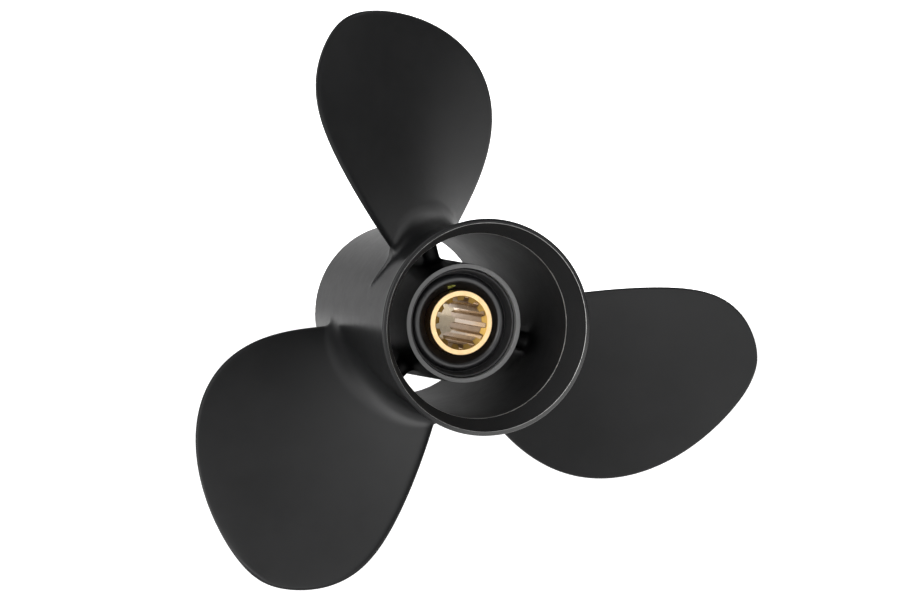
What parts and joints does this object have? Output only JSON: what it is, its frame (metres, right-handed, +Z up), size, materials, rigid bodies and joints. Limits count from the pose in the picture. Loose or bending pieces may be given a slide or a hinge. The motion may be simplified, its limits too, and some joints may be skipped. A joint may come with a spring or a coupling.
{
  "type": "outboard motor propeller",
  "caption": "Right-hand outboard propeller with curved blades on a hub that exhaust gas passes through, and a rubber-bushed splined sleeve that slides onto the motor's shaft.",
  "frame": {"origin": "on the shaft's axis, in the plane of the splined sleeve's forward thrust face", "axes": "+Y along the shaft, forward to the gearcase; -Y aft to the nut; +Z up and +X to the right as seen from behind the propeller"},
  "size_m": [0.2527, 0.1343, 0.2513],
  "materials": {
    "black_paint": "satin",
    "rubber": "matte",
    "brass": "satin"
  },
  "bodies": {
    "root": {"propeller_casting": "black_paint", "rubber_bush": "rubber", "spline_sleeve": "brass"}
  },
  "joints": []
}
